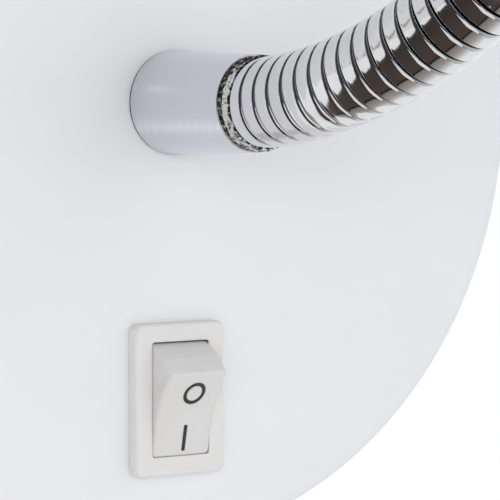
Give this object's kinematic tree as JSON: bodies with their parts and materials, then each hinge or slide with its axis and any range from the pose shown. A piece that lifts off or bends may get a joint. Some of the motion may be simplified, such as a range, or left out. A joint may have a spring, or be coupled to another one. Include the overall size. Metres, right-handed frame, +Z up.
{
  "type": "wall lamp",
  "caption": "Round white wall plate with a rocker switch, a chrome ribbed neck that bends and stays, and a small white metal shade with a frosted bulb.",
  "frame": {"origin": "on the wall plane, on the axis of the lower ferrule", "axes": "+Y into the wall, -Y out of the wall, +Z up, +X to the right seen from the room"},
  "size_m": [0.094, 0.3675, 0.1289],
  "materials": {
    "white_paint": "gloss white paint on steel",
    "chrome": "polished chrome plate",
    "braze": "rough brazed seam, partly bright",
    "zinc": "zinc plated steel",
    "brass": "plain brass",
    "switch_white": "fine satin moulded plastic",
    "natural_plastic": "moulded plastic",
    "lead_white": "smooth insulation",
    "lead_brown": "smooth insulation",
    "lead_blue": "smooth insulation",
    "lead_earth": "smooth insulation, green and yellow",
    "black_glass": "black glass insulator",
    "frosted_glass": "frosted white glass"
  },
  "bodies": {
    "base": {"wall_bracket": "zinc", "wall_plate": "white_paint", "plate_screws": "zinc", "earth_screw": "brass", "earth_lug": "zinc", "ferrule": "chrome", "braze_ring": "braze", "neck_washer": "zinc", "neck_lock_washer": "zinc", "neck_nut": "zinc", "switch_housing": "switch_white", "common_terminal": "brass", "load_terminal": "brass", "blade_receptacles": "natural_plastic", "terminal_block": "natural_plastic", "terminal_inserts": "brass", "terminal_screws": "zinc", "block_screw": "zinc", "live_lead": "lead_brown", "switched_lead": "lead_brown", "neutral_lead": "lead_blue", "earth_lead": "lead_earth", "neck_link_1": "chrome", "neck_lead_1": "lead_white"},
    "link_2": {"neck_link_2": "chrome", "neck_lead_2": "lead_white"},
    "link_3": {"neck_link_3": "chrome", "neck_lead_3": "lead_white"},
    "link_4": {"neck_link_4": "chrome", "neck_lead_4": "lead_white"},
    "link_5": {"neck_link_5": "chrome", "neck_lead_5": "lead_white"},
    "link_6": {"neck_link_6": "chrome", "neck_lead_6": "lead_white"},
    "lamp_head": {"neck_link_7": "chrome", "neck_lead_7": "lead_white", "head_ferrule": "chrome", "head_braze_ring": "braze", "head_lock_washer": "zinc", "head_nut": "zinc", "shade": "white_paint", "holder_cap": "natural_plastic", "holder_body": "natural_plastic", "screw_shell": "brass", "centre_contact": "brass", "holder_leads": "lead_white", "bulb_cap": "zinc", "bulb_insulator": "black_glass", "bulb_globe": "frosted_glass"},
    "rocker": {"switch_rocker": "switch_white", "rocker_plunger": "natural_plastic", "plunger_spring": "zinc"},
    "lever": {"contact_lever": "brass"}
  },
  "joints": [
    {"name": "neck_bend_1", "type": "hinge", "parent": "base", "child": "link_2", "pos_m": [0.00316, -0.06637, 0.00869], "axis": [-0.9397, 0, 0.342], "range_deg": [-25, 25]},
    {"name": "neck_turn_1", "type": "hinge", "parent": "link_2", "child": "link_3", "pos_m": [0.01375, -0.09111, 0.03777], "axis": [0.2144, 0.7791, 0.5891], "range_deg": [-25, 25]},
    {"name": "neck_bend_2", "type": "hinge", "parent": "link_3", "child": "link_4", "pos_m": [0.02277, -0.1208, 0.06256], "axis": [-0.9397, 0, 0.342], "range_deg": [-25, 25]},
    {"name": "neck_turn_2", "type": "hinge", "parent": "link_4", "child": "link_5", "pos_m": [0.02798, -0.15748, 0.07686], "axis": [0.3333, 0.2246, 0.9157], "range_deg": [-25, 25]},
    {"name": "neck_bend_3", "type": "hinge", "parent": "link_5", "child": "link_6", "pos_m": [0.02879, -0.19713, 0.0791], "axis": [-0.9397, 0, 0.342], "range_deg": [-25, 25]},
    {"name": "neck_turn_3", "type": "hinge", "parent": "link_6", "child": "lamp_head", "pos_m": [0.02512, -0.23537, 0.06902], "axis": [0.3094, -0.426, 0.8502], "range_deg": [-25, 25]},
    {"name": "rocker_press", "type": "hinge", "parent": "base", "child": "rocker", "pos_m": [0, -0.0246, -0.03], "axis": [-1, 0, 0], "range_deg": [0, 42.8]},
    {"name": "lever_tip", "type": "hinge", "parent": "base", "child": "lever", "pos_m": [0, -0.0195, -0.03], "axis": [1, 0, 0], "range_deg": [0, 16]}
  ],
  "couplings": [
    {"joint": "lever_tip", "follows": "rocker_press", "ratio": 0.37383}
  ]
}
